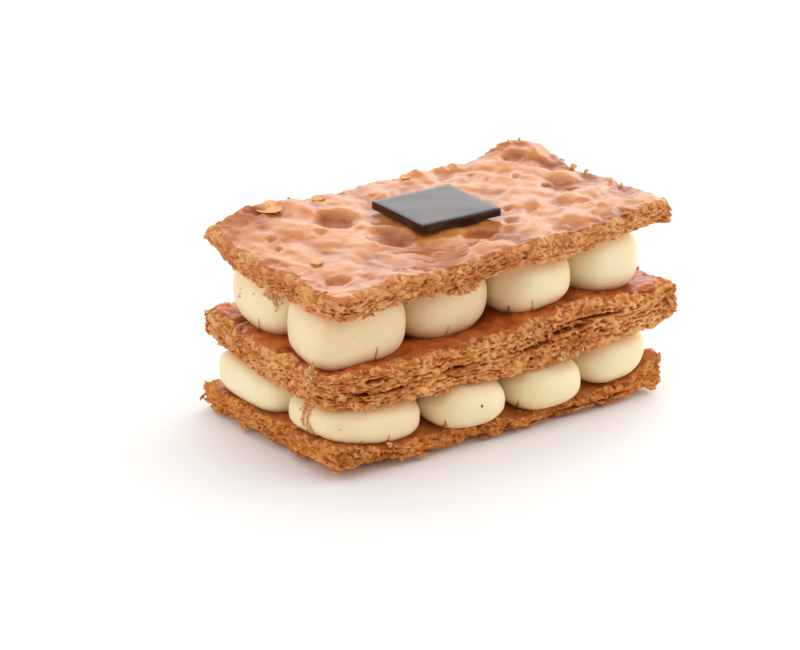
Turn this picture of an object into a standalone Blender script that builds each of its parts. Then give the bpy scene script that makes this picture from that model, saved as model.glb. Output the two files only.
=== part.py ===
# Mille feuille slice: three baked sheets of puff pastry, two layers of piped cream
# between them and a square of dark chocolate lying on top.
# Metres, +Z up. The long side runs along X and the front side faces -Y. The slice
# stands on z = 0, with the origin under the middle of its box.

import math

import bmesh
import bpy
from mathutils import Euler, Vector

MM = 0.001
GAP = 0.35 * MM                # left between pieces that touch

# pastry sheets
LENGTH = 111.0 * MM
WIDTH = 62.5 * MM
CELL = 5.2 * MM                # size of the facets of a sheet
SIDE_ROWS = 2
OUTLINE_WANDER = 0.45 * MM     # how far a cut side strays from straight

# the corner of the top sheet that rose while baking
LUMP = (48.0 * MM, 30.0 * MM)
LUMP_RADIUS = 9.5 * MM
LUMP_HEIGHT = 4.5 * MM

# cream
SEGMENTS = 18
RINGS = 10
PLAN_POWER = 3.0               # 2 is an oval seen from above, more is squarer
SIDE_POWER = 4.5               # the same for the outline seen from the side
PRESSED = 0.56                 # half the unpressed height, as a share of the room between the sheets

# chocolate
TILE = 24.9 * MM
TILE_THICKNESS = 2.3 * MM
TILE_EDGE = 0.35 * MM
TILE_CENTRE = (0.5 * MM, 1.6 * MM)
TILE_SLOPE = 0.02              # rises towards +X, as the sheet under it does
TILE_TURN = math.radians(-3.0)


def material(name, colour, roughness, metallic=0.0):
    made = bpy.data.materials.new(name)
    made.use_nodes = True
    shader = made.node_tree.nodes["Principled BSDF"]
    shader.inputs["Base Color"].default_value = (*colour, 1.0)
    shader.inputs["Roughness"].default_value = roughness
    shader.inputs["Metallic"].default_value = metallic
    return made


def add_object(name, shape, finish, collection):
    mesh = bpy.data.meshes.new(name)
    shape.to_mesh(mesh)
    shape.free()
    mesh.materials.append(finish)
    made = bpy.data.objects.new(name, mesh)
    collection.objects.link(made)
    return made


def smooth(value):
    value = min(max(value, 0.0), 1.0)
    return value * value * (3 - 2 * value)


def swell(x, y, centre, radius):
    # a soft hump, 1 at its centre
    return math.exp(-((x - centre[0]) ** 2 + (y - centre[1]) ** 2) / radius ** 2)


def lump(x, y):
    return LUMP_HEIGHT * swell(x, y, LUMP, LUMP_RADIUS)


def depth(y):
    # 0 along the front of the slice, 1 along the back
    return min(max(y / WIDTH + 0.5, 0.0), 1.0)


# ---- pastry sheets: each has a low and a high face, given as heights over x and y ----

def bottom_low(x, y):
    # flat where it stands, lifting towards the front left corner and a little all round
    rim = max(abs(x) / (LENGTH / 2), abs(y) / (WIDTH / 2))
    corner = 1.4 * MM * swell(x, y, (-56 * MM, -33 * MM), 24 * MM)
    return corner * smooth((rim - 0.7) / 0.3) + 0.3 * MM * smooth((rim - 0.9) / 0.1)


def bottom_high(x, y):
    # pressed down along the front by the cream, with its two front corners standing up
    ripple = 0.3 * MM * math.sin(x / (8.0 * MM) + 1.0) * math.cos(y / (9.0 * MM))
    front = 2.3 * MM * smooth((-y - 18 * MM) / (16 * MM))
    corners = 4.4 * MM * swell(x, y, (-56 * MM, -33 * MM), 15 * MM)
    corners += 4.6 * MM * swell(x, y, (54 * MM, -33 * MM), 12 * MM)
    return 7.0 * MM - front + ripple + corners


def middle_low(x, y):
    # lifts at the left end, and more slowly towards the right end
    left = 2.2 * MM * smooth((-x - 40 * MM) / (16 * MM))
    left += 3.2 * MM * swell(x, y, (-57 * MM, 32 * MM), 9 * MM)
    right = 3.0 * MM * smooth((x - 12 * MM) / (36 * MM)) + 4.8 * MM * smooth((x - 46 * MM) / (12 * MM))
    ripple = 0.4 * MM * math.sin(x / (7.5 * MM)) * math.cos(y / (11 * MM) + 0.6)
    return 15.8 * MM + left + right + ripple


def middle_high(x, y):
    # puffed up higher over its right half
    puff = 3.5 * MM * smooth((x + 16 * MM) / (36 * MM)) - 0.8 * MM * smooth((x - 28 * MM) / (14 * MM))
    corner = 1.8 * MM * swell(x, y, (58 * MM, -34 * MM), 10 * MM)
    left = -0.8 * MM * smooth((-x - 36 * MM) / (16 * MM))
    ripple = 0.3 * MM * math.sin(x / (6.5 * MM) + 0.8) * math.cos(y / (10 * MM))
    return 27.2 * MM + puff + corner + left + ripple


def top_high(x, y):
    # twisted: low at the front left corner and high along the back
    wave = 0.7 * MM * math.cos((x + 36 * MM) / (6.1 * MM)) * (1 - 0.85 * smooth(2.5 * depth(y)))
    front = 48.6 * MM + 0.044 * (x + 54 * MM) + wave * smooth((x + 62 * MM) / (20 * MM))
    back = 53.1 * MM + 1.8 * MM * smooth((-x - 8 * MM) / (32 * MM))
    edge = 1 - math.exp(-(x + LENGTH / 2 + 3 * MM) / (8 * MM))
    return front + (back - front) * edge * depth(y) ** 3.2 + lump(x, y)


def top_low(x, y):
    # thins out at the back left corner, at the right end and at the front left corner
    thickness = 6.9 * MM + 1.4 * MM * depth(y) ** 2
    thickness += 0.4 * MM * math.cos(x / (5.5 * MM) + y / (9 * MM)) + 0.3 * lump(x, y)
    thickness -= 7.2 * MM * swell(x, y, (-57 * MM, 33 * MM), 13 * MM)
    thickness -= 1.6 * MM * smooth((x - 38 * MM) / (18 * MM))
    thickness -= 0.8 * MM * swell(x, y, (-56 * MM, -32 * MM), 12 * MM)
    return top_high(x, y) - thickness


# centre in x and y, turn in degrees, and how much each corner is rounded off:
# front left, front right, back left, back right
SHEETS = {
    "pastry_bottom": {
        "faces": (bottom_low, bottom_high),
        "size": (LENGTH - 2.0 * MM, WIDTH + 2.0 * MM),
        "centre": (-2.1 * MM, -0.8 * MM), "turn": -0.1,
        "corners": (0.8 * MM, 0.8 * MM, 0.8 * MM, 0.8 * MM),
    },
    "pastry_middle": {
        "faces": (middle_low, middle_high),
        "size": (LENGTH + 2.5 * MM, WIDTH),
        "centre": (1.1 * MM, -1.0 * MM), "turn": -1.9,
        "corners": (2.0 * MM, 1.0 * MM, 0.8 * MM, 0.8 * MM),
    },
    "pastry_top": {
        "faces": (top_low, top_high),
        "size": (LENGTH, WIDTH),
        "centre": (0.4 * MM, -0.4 * MM), "turn": 0.8,
        "corners": (0.6 * MM, 0.6 * MM, 0.6 * MM, 1.5 * MM),
    },
}


def outline(s, t, sheet):
    # s and t run from -1 to 1 over the length and the width of the sheet
    number = (1 if s > 0 else 0) + (2 if t > 0 else 0)
    cut = sheet["corners"][number] * abs(s * t) ** 9
    x = s * (sheet["size"][0] / 2 - cut) + OUTLINE_WANDER * math.sin(7 * t + 3 * s) * abs(s) ** 6
    y = t * (sheet["size"][1] / 2 - cut) + OUTLINE_WANDER * math.sin(11 * s + 2 * t) * abs(t) ** 6
    angle = math.radians(sheet["turn"])
    return (sheet["centre"][0] + x * math.cos(angle) - y * math.sin(angle),
            sheet["centre"][1] + x * math.sin(angle) + y * math.cos(angle))


def cut_into_rows(shape, axis, count):
    for row in range(1, count):
        place, normal = Vector(), Vector()
        place[axis] = row / count - 0.5
        normal[axis] = 1.0
        bmesh.ops.bisect_plane(shape, geom=shape.verts[:] + shape.edges[:] + shape.faces[:],
                               plane_co=place, plane_no=normal)


def make_sheet(name, sheet, finish, collection):
    # a box cut into rows, then bent to fill the space between the sheet's two faces
    shape = bmesh.new()
    bmesh.ops.create_cube(shape, size=1.0)
    for axis, count in enumerate((round(LENGTH / CELL), round(WIDTH / CELL), SIDE_ROWS)):
        cut_into_rows(shape, axis, count)
    low, high = sheet["faces"]
    for vert in shape.verts:
        x, y = outline(2 * vert.co.x, 2 * vert.co.y, sheet)
        share = vert.co.z + 0.5
        vert.co = Vector((x, y, low(x, y) * (1 - share) + high(x, y) * share))
    return add_object(name, shape, finish, collection)


# ---- cream: each piece is a piped ball, pressed flat by the sheets and by its neighbours ----

# joins are where the pieces of a row meet, along x; side is how far each one bulges out
LAYERS = {
    "cream_lower": {
        "faces": (bottom_high, middle_low),
        "front": {"joins": (-57.0, -24.4, 1.2, 25.8, 50.0), "side": (-32.3, -35.4, -36.4, -33.6)},
        "back": {"joins": (-56.2, -26.5, 1.5, 27.0, 51.0), "side": (29.0, 28.5, 29.5, 29.0)},
        "split": -4.0,
    },
    "cream_upper": {
        "faces": (middle_high, top_low),
        "front": {"joins": (-55.8, -25.0, 2.5, 27.1, 51.0), "side": (-26.4, -25.0, -29.4, -28.6)},
        "back": {"joins": (-52.0, -25.0, 2.5, 27.0, 51.5), "side": (28.0, 28.5, 27.5, 28.0)},
        "split": 0.0,
    },
}


def squared(value, power):
    return math.copysign(abs(value) ** (2 / power), value)


def make_cream(name, low, high, sides, finish, collection):
    # sides are the smallest and largest x, then the smallest and largest y
    left, right, near, far = sides
    shape = bmesh.new()
    bmesh.ops.create_uvsphere(shape, u_segments=SEGMENTS, v_segments=RINGS, radius=1.0)
    for vert in shape.verts:
        rise = math.asin(min(max(vert.co.z, -1.0), 1.0))
        turn = math.atan2(vert.co.y, vert.co.x)
        reach = squared(math.cos(rise), SIDE_POWER)
        x = (left + right) / 2 + (right - left) / 2 * reach * squared(math.cos(turn), PLAN_POWER)
        y = (near + far) / 2 + (far - near) / 2 * reach * squared(math.sin(turn), PLAN_POWER)
        share = min(max(0.5 + PRESSED * squared(math.sin(rise), SIDE_POWER), 0.0), 1.0)
        floor, ceiling = low(x, y) + GAP, high(x, y) - GAP
        vert.co = Vector((x, y, floor + (ceiling - floor) * share))
    made = add_object(name, shape, finish, collection)
    made.data.shade_smooth()
    return made


def make_layer(name, layer, finish, collection):
    made = []
    low, high = layer["faces"]
    for row in ("front", "back"):
        joins, bulges = layer[row]["joins"], layer[row]["side"]
        for left, right, bulge in zip(joins, joins[1:], bulges):
            near, far = sorted((bulge, layer["split"]))
            sides = (left * MM + GAP / 2, right * MM - GAP / 2, near * MM + GAP / 2, far * MM - GAP / 2)
            made.append(make_cream(f"{name}_{len(made) + 1}", low, high, sides, finish, collection))
    return made


def tile_seat():
    # the lowest height at which the tilted tile clears the top sheet
    steps = range(-4, 5)
    points = [(TILE * i / 8, TILE * j / 8) for i in steps for j in steps]
    return GAP + max(top_high(TILE_CENTRE[0] + x, TILE_CENTRE[1] + y) - TILE_SLOPE * x for x, y in points)


def make_chocolate(finish, collection):
    # a flat tile resting on the high places of the top sheet
    shape = bmesh.new()
    bmesh.ops.create_cube(shape, size=1.0)
    bmesh.ops.scale(shape, verts=shape.verts, vec=Vector((TILE, TILE, TILE_THICKNESS)))
    bmesh.ops.bevel(shape, geom=shape.edges[:], offset=TILE_EDGE, segments=2, profile=0.5, affect="EDGES")
    tile = add_object("chocolate_square", shape, finish, collection)
    tile.location = (*TILE_CENTRE, tile_seat() + TILE_THICKNESS / 2)
    tile.rotation_euler = Euler((0.0, -math.atan(TILE_SLOPE), TILE_TURN))
    return tile


def clear_scene():
    for old in list(bpy.data.objects):
        bpy.data.objects.remove(old, do_unlink=True)


def centre_on_origin(parts):
    bpy.context.view_layer.update()
    corners = [part.matrix_world @ vert.co for part in parts for vert in part.data.vertices]
    low = Vector(map(min, zip(*corners)))
    high = Vector(map(max, zip(*corners)))
    for part in parts:
        part.location -= Vector(((low.x + high.x) / 2, (low.y + high.y) / 2, low.z))


def main():
    clear_scene()
    collection = bpy.data.collections.new("mille_feuille")
    bpy.context.scene.collection.children.link(collection)
    pastry = material("puff_pastry", (0.42, 0.18, 0.06), 0.55)
    cream = material("pastry_cream", (0.86, 0.70, 0.45), 0.40)
    chocolate = material("dark_chocolate", (0.030, 0.012, 0.009), 0.15)
    parts = [make_sheet(name, sheet, pastry, collection) for name, sheet in SHEETS.items()]
    for name, layer in LAYERS.items():
        parts += make_layer(name, layer, cream, collection)
    parts.append(make_chocolate(chocolate, collection))
    centre_on_origin(parts)


main()
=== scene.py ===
import math
import bmesh
import bpy
import numpy as np
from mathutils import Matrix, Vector
from mathutils.bvhtree import BVHTree


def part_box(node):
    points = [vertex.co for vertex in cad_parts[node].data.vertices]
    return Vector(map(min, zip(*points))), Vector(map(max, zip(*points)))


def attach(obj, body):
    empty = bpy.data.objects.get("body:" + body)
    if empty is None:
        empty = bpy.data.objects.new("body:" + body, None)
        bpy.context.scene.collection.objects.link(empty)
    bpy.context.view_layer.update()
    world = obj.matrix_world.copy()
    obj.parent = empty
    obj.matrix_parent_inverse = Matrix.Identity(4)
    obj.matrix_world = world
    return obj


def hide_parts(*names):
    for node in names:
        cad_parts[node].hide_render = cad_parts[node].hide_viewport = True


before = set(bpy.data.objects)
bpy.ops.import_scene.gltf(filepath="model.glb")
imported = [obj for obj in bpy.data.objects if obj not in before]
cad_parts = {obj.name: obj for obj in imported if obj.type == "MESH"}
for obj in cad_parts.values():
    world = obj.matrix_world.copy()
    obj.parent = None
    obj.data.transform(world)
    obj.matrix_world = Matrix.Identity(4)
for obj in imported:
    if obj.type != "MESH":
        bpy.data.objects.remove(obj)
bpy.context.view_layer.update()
mm = 0.001
print("frame loaded")


camera = {
    "place": (-0.45292, -0.60523, 0.30375),
    "lookDown": 20.494,      # degrees below the horizon
    "turn": -35.888,         # from +Y towards +X
    "lens": 135.0,
}


def addCamera():
    lens = bpy.data.cameras.new("camera")
    lens.lens = camera["lens"]
    lens.sensor_width = 36.0
    lens.clip_start = 0.01
    lens.clip_end = 50.0
    held = bpy.data.objects.new("camera", lens)
    held.location = camera["place"]
    held.rotation_euler = (math.radians(90 - camera["lookDown"]), 0.0, math.radians(camera["turn"]))
    bpy.context.scene.collection.objects.link(held)
    bpy.context.scene.camera = held


addCamera()


def boxOf(node):
    # the low and high corner of a solid's box, in mm
    return tuple(np.array(corner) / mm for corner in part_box(node))


def middleOf(node):
    # the middle of a solid's box and half its size, in mm
    low, high = boxOf(node)
    return (low + high) / 2, (high - low) / 2


def smooth(value):
    value = np.clip(value, 0.0, 1.0)
    return value * value * (3 - 2 * value)


def unit(vectors):
    # the same directions with a length of 1
    return vectors / np.linalg.norm(vectors, axis=-1)[..., None]


def softMin(a, b, width):
    # the smaller of two distances, rounded off where they meet
    blend = np.clip(0.5 + 0.5 * (b - a) / width, 0.0, 1.0)
    return b + (a - b) * blend - width * blend * (1 - blend)


noiseTable = np.random.default_rng(5).permutation(256).astype(np.int32)
noiseSlopes = unit(np.random.default_rng(6).normal(size=(256, 3)).astype(np.float32))


def grain(x, y, z, size, seed=0):
    # soft noise from about -1 to 1, with bumps about size across, in the unit of x, y and z
    x, y, z = np.broadcast_arrays(x, y, z)
    spots = [np.asarray(v, np.float32) / size + 37.31 * (seed + k + 1) for k, v in enumerate((x, y, z))]
    cells = [np.floor(v).astype(np.int32) for v in spots]
    parts = [v - c for v, c in zip(spots, cells)]
    fades = [p * p * p * (p * (p * 6 - 15) + 10) for p in parts]
    total = np.zeros(x.shape, np.float32)
    for corner in range(8):
        step = (corner & 1, corner >> 1 & 1, corner >> 2)
        pick = noiseTable[(cells[0] + step[0]) & 255]
        pick = noiseTable[(pick + cells[1] + step[1]) & 255]
        slope = noiseSlopes[noiseTable[(pick + cells[2] + step[2]) & 255]]
        value = sum(slope[..., k] * (parts[k] - step[k]) for k in range(3))
        for k in range(3):
            value = value * (fades[k] if step[k] else 1 - fades[k])
        total += value
    return total * 1.7


def blurred(values, passes):
    for _ in range(passes):
        padded = np.pad(values, 1, mode="edge")
        values = (padded[:-2, 1:-1] + 2 * padded[1:-1, 1:-1] + padded[2:, 1:-1]) / 4
        padded = np.pad(values, 1, mode="edge")
        values = (padded[1:-1, :-2] + 2 * padded[1:-1, 1:-1] + padded[1:-1, 2:]) / 4
    return values


def addPiece(name, points, faces, finish, shades, node):
    # points in millimetres; shades are numbers kept on the points for the finish to read
    mesh = bpy.data.meshes.new(name)
    mesh.from_pydata((np.asarray(points, float) * mm).tolist(), [], faces)
    mesh.shade_smooth()
    for label, values in shades.items():
        layer = mesh.attributes.new(label, "FLOAT", "POINT")
        layer.data.foreach_set("value", np.asarray(values, np.float32))
    mesh.materials.append(finish)
    return keepPiece(name, mesh, node)


def keepPiece(name, mesh, node):
    piece = bpy.data.objects.new(name, mesh)
    bpy.context.scene.collection.objects.link(piece)
    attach(piece, "root")
    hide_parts(node)
    return piece


class Wire:
    # a node's socket, with arithmetic that adds Math nodes
    def __init__(self, tree, socket):
        self.tree = tree
        self.socket = socket

    def calc(self, operation, first, second):
        node = self.tree.nodes.new("ShaderNodeMath")
        node.operation = operation
        for plug, value in zip(node.inputs, (first, second)):
            if isinstance(value, Wire):
                self.tree.links.new(value.socket, plug)
            else:
                plug.default_value = value
        return Wire(self.tree, node.outputs[0])

    def __add__(self, other):
        return self.calc("ADD", self, other)

    def __radd__(self, other):
        return self.calc("ADD", other, self)

    def __sub__(self, other):
        return self.calc("SUBTRACT", self, other)

    def __rsub__(self, other):
        return self.calc("SUBTRACT", other, self)

    def __mul__(self, other):
        return self.calc("MULTIPLY", self, other)

    def __rmul__(self, other):
        return self.calc("MULTIPLY", other, self)


class Nodes:
    # a node tree under construction
    def __init__(self, tree):
        self.tree = tree

    def node(self, kind, settings=None, sockets=None, output=0):
        made = self.tree.nodes.new(kind)
        for key, value in (settings or {}).items():
            if key == "stops":
                self.setStops(made.color_ramp, value)
            else:
                setattr(made, key, value)
        for key, value in (sockets or {}).items():
            self.plug(made.inputs[key], value)
        return Wire(self.tree, made.outputs[output])

    def setStops(self, ramp, stops):
        while len(ramp.elements) > 1:
            ramp.elements.remove(ramp.elements[-1])
        for number, (place, colour) in enumerate(stops):
            stop = ramp.elements[0] if number == 0 else ramp.elements.new(place)
            stop.position = place
            stop.color = (*colour, 1.0) if len(colour) == 3 else colour

    def plug(self, socket, value):
        if isinstance(value, Wire):
            self.tree.links.new(value.socket, socket)
        else:
            socket.default_value = value


class Finish(Nodes):
    # one material under construction
    def __init__(self, name):
        self.material = bpy.data.materials.new(name)
        self.material.use_nodes = True
        super().__init__(self.material.node_tree)
        self.shader = self.tree.nodes["Principled BSDF"]
        self.place = self.node("ShaderNodeTexCoord", output="Object")

    def set(self, values):
        for label, value in values.items():
            self.plug(self.shader.inputs[label], value)

    def noise(self, size, detail=2.0, rough=0.5, stretch=None, distortion=0.0):
        # size is the width of the spots in millimetres
        place = self.place
        if stretch:
            place = self.node("ShaderNodeVectorMath", {"operation": "MULTIPLY"}, {0: place, 1: stretch})
        return self.node("ShaderNodeTexNoise", None, {
            "Vector": place, "Scale": 1.0 / (size * mm), "Detail": detail,
            "Roughness": rough, "Distortion": distortion})

    def attribute(self, label):
        return self.node("ShaderNodeAttribute", {"attribute_name": label}, output="Fac")

    def ramp(self, value, stops):
        return self.node("ShaderNodeValToRGB", {"stops": stops}, {"Fac": value})

    def between(self, value, low, high):
        # 0 up to low, 1 from high on, smooth between
        return self.node("ShaderNodeMapRange", {"interpolation_type": "SMOOTHSTEP"},
                         {"Value": value, "From Min": low, "From Max": high})

    def mix(self, share, first, second):
        return self.node("ShaderNodeMix", {"data_type": "RGBA"}, {0: share, 6: first, 7: second}, output=2)

    def bump(self, height, distance):
        return self.node("ShaderNodeBump", None, {"Height": height, "Distance": distance * mm})


def colour(shown):
    # a display colour, 0 to 255, as the linear values a shader takes
    linear = [((v / 255 + 0.055) / 1.055) ** 2.4 if v > 10 else v / 255 / 12.92 for v in shown]
    return (*linear, 1.0)


sheets = {
    "step": 0.42,            # mm between points in plan
    "outside": 3.0,          # how far the worked room reaches past the sheet
    "spare": 7,              # rows of points above and below it
    "cutDepth": 4.2,         # no hollow in a cut side goes deeper
    "thinnest": 0.9,         # mm
    "firm": 5.0,             # mm thick from which the faces and sides are worked in full
    "hops": 22,              # how many points away from the core a crumb may hang on
    "coarse": 4,             # cells joined into one where no detail is seen
    "lowest": 0.02,          # mm above the floor that every point keeps
}


def cutLine(node):
    # the corner points of the sheet's cut sides seen from above, in order round it
    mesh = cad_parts[node].data
    rim = set()
    for face in mesh.polygons:
        if abs(face.normal.z) < 0.3:
            rim.update((round(mesh.vertices[v].co.x / mm, 2), round(mesh.vertices[v].co.y / mm, 2))
                       for v in face.vertices)
    points = np.array(sorted(rim))
    middle = points.mean(axis=0)
    return points[np.argsort(np.arctan2(points[:, 1] - middle[1], points[:, 0] - middle[0]))]


def toLine(x, y, start, end):
    # distance to the straight line between two places
    run = np.array(end) - np.array(start)
    along = np.clip(((x - start[0]) * run[0] + (y - start[1]) * run[1]) / (run @ run), 0, 1)
    return np.hypot(x - start[0] - along * run[0], y - start[1] - along * run[1])


def distanceInside(x, y, line):
    # distance to the cut line, positive inside it
    nearest = np.full(x.shape, 1e9)
    crossings = np.zeros(x.shape, int)
    for start, end in zip(line, np.roll(line, -1, axis=0)):
        run = end - start
        nearest = np.minimum(nearest, toLine(x, y, start, end))
        spans = (start[1] > y) != (end[1] > y)
        if run[1] != 0:
            crossings += spans & (x < start[0] + (y - start[1]) / run[1] * run[0])
    return np.where(crossings % 2 == 1, nearest, -nearest)


def sheetFaces(node, x, y):
    # heights of the sheet's low and high face over a coarse grid, carried on past its edge
    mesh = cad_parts[node].data
    tree = BVHTree.FromPolygons([v.co for v in mesh.vertices], [p.vertices[:] for p in mesh.polygons])
    faces = []
    for start, way in ((-0.05, 1), (0.15, -1)):
        heights = np.full((len(x), len(y)), np.nan)
        for i, across in enumerate(x):
            for j, along in enumerate(y):
                hit = tree.ray_cast(Vector((across * mm, along * mm, start)), Vector((0, 0, way)))[0]
                if hit is not None:
                    heights[i, j] = hit.z / mm
        faces.append(spreadOut(heights))
    return faces


def spreadOut(heights):
    # fills the empty places from their neighbours, one ring at a time
    while np.isnan(heights).any():
        padded = np.pad(heights, 1, constant_values=np.nan)
        around = np.stack([padded[1 + a:padded.shape[0] - 1 + a, 1 + b:padded.shape[1] - 1 + b]
                           for a in (-1, 0, 1) for b in (-1, 0, 1)])
        known = ~np.isnan(around)
        mean = np.where(known, around, 0).sum(0) / np.maximum(known.sum(0), 1)
        heights = np.where(np.isnan(heights) & known.any(0), mean, heights)
    return heights


def resampled(values, fromX, fromY, toX, toY):
    half = np.stack([np.interp(toX, fromX, values[:, j]) for j in range(len(fromY))], axis=1)
    return np.stack([np.interp(toY, fromY, half[i]) for i in range(len(toX))])


def rounds(x, y, place, size, turn=0.0):
    # squared distance from the middle of an oval, 1 on its rim
    angle = math.radians(turn)
    across = ((x - place[0]) * math.cos(angle) + (y - place[1]) * math.sin(angle)) / size[0]
    along = ((y - place[1]) * math.cos(angle) - (x - place[0]) * math.sin(angle)) / size[1]
    return across ** 2 + along ** 2


def planOf(node, look):
    # everything about a sheet that depends on x and y only
    low, high = boxOf(node)
    reach = sheets["outside"]
    x = np.arange(low[0] - reach, high[0] + reach, sheets["step"])
    y = np.arange(low[1] - reach, high[1] + reach, sheets["step"])
    coarseX, coarseY = x[::3], y[::3]
    coarseX = np.append(coarseX, coarseX[-1] + 3 * sheets["step"])
    coarseY = np.append(coarseY, coarseY[-1] + 3 * sheets["step"])
    lower, upper = (blurred(face, 2) for face in sheetFaces(node, coarseX, coarseY))
    gridX, gridY = np.meshgrid(x, y, indexing="ij")
    line = cutLine(node)
    plan = {
        "line": line, "x": x, "y": y, "gridX": gridX, "gridY": gridY,
        "inside": distanceInside(gridX, gridY, line),
        "low": blurred(resampled(lower, coarseX, coarseY, x, y), 3),
        "high": blurred(resampled(upper, coarseX, coarseY, x, y), 3),
    }
    for face, place, size, height in look["puffed"]:
        plan[face] += height * np.exp(-rounds(gridX, gridY, place, size))
    return plan


def blisters(x, y, size, seed):
    # soft domes packed side by side, 1 on their tops and 0 in the creases between them
    domes = np.zeros(np.shape(x))
    x, y = 0.86 * x - 0.51 * y, 0.51 * x + 0.86 * y
    cellX, cellY = np.floor(x / size), np.floor(y / size)
    for stepX in (-1, 0, 1):
        for stepY in (-1, 0, 1):
            i, j = (cellX + stepX) * 3.7, (cellY + stepY) * 3.7
            middleX = ((cellX + stepX) + 0.5 + 1.1 * grain(i, j, 0, 1.0, seed)) * size
            middleY = ((cellY + stepY) + 0.5 + 1.1 * grain(i, j, 0, 1.0, seed + 1)) * size
            width = size * (0.72 + 0.25 * grain(i, j, 0, 1.0, seed + 2))
            away = ((x - middleX) ** 2 + (y - middleY) ** 2) / width ** 2
            domes = np.maximum(domes, np.clip(1 - away, 0, 1))
    return domes


def topRelief(x, y, look):
    # the high face's own relief: waves, creases, blisters and dimples
    seed = look["seed"]
    relief = look["waves"] * (0.6 * grain(x, y, 0, 13.0, seed) + 0.35 * grain(x, y, 0, 5.5, seed + 1))
    for size, share in ((9.0, 1.0), (4.6, 0.5)):
        folds = 1 - np.abs(grain(x, y, 3, size, seed + 2))
        fading = 0.5 + 0.5 * grain(x, y, 0, 14.0, seed + 3)
        relief += look["creases"] * share * np.maximum(folds, 0) ** 6 * fading
    relief += look["fine"] * (grain(x, y, 0, 2.2, seed + 4) + 0.5 * grain(x, y, 0, 1.1, seed + 5))
    wornX = x + 0.9 * grain(x, y, 0, 3.6, seed + 6) + 0.35 * grain(x, y, 0, 1.5, seed + 21)
    wornY = y + 0.9 * grain(x, y, 0, 3.6, seed + 7) + 0.35 * grain(x, y, 0, 1.5, seed + 22)
    for size, left, right in look["blisters"]:
        height = left + (right - left) * smooth((x + 20) / 40)
        domes = blisters(wornX + 0.15 * size * grain(x, y, 0, size, seed + 25), wornY, size, seed + 26)
        relief += height * (domes - 0.55)
    for place, size, height in look["bumps"]:
        relief += height * np.exp(-rounds(wornX, wornY, place, size))
    for place, size, depth, turn in look["dimples"]:
        # a hollow with a steep side and a low lip round it
        away = np.sqrt(rounds(wornX, wornY, place, size, turn))
        relief += depth * (0.3 * np.exp(-((away - 1.25) / 0.22) ** 2) - smooth((1.15 - away) / 0.5))
    for start, end, wide, height in look["ridges"]:
        relief += height * np.exp(-(toLine(wornX, wornY, start, end) / wide) ** 2)
    return relief


def brokenLeaf(x, y, inside, look, share, seed):
    # 1 where a leaf still lies, 0 outside the line along which it has broken off
    line = look["broken"] * share * (0.35 + 0.9 * grain(x, y, 0, 6.0, seed))
    line = line + 0.6 * grain(x, y, 0, 1.7, seed + 1)
    for place, reach in look["bare"]:
        line = line + share * reach * np.exp(-rounds(x, y, place, (reach * 1.8, reach * 1.8)))
    return smooth((inside - line) / 0.6)


def workFaces(plan, look):
    # the relief of the sheet's high and low face, and where its top leaf is still whole
    seed, x, y = look["seed"], plan["gridX"], plan["gridY"]
    firm = smooth(plan["thick"] / sheets["firm"])
    plan["glazed"] = brokenLeaf(x, y, plan["inside"], look, 1.0, seed + 23)
    second = brokenLeaf(x, y, plan["inside"], look, 0.45, seed + 28)
    coarseGrain = 0.7 * grain(x, y, 0, 1.6, seed + 30) + 0.6 * grain(x, y, 0, 0.9, seed + 31)
    relief = topRelief(x, y, look) - look["leaf"] * (2 - plan["glazed"] - second) * firm
    plan["crumbly"] = 1.2 * coarseGrain * (1 - plan["glazed"]) * (0.4 + 0.6 * firm)
    rim = smooth(1 - plan["inside"] / 6.5)
    under = look["under"] * (0.6 * grain(x, y, 0, 3.0, seed + 8) + 0.5 * grain(x, y, 0, 1.4, seed + 9))
    under -= look["lift"] * rim * (0.3 + 0.7 * smooth(0.5 + 1.3 * grain(x, y, 0, 6.0, seed + 10)))
    under *= firm
    plan["relief"], plan["under"] = relief + plan["crumbly"], under
    return firm


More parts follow.
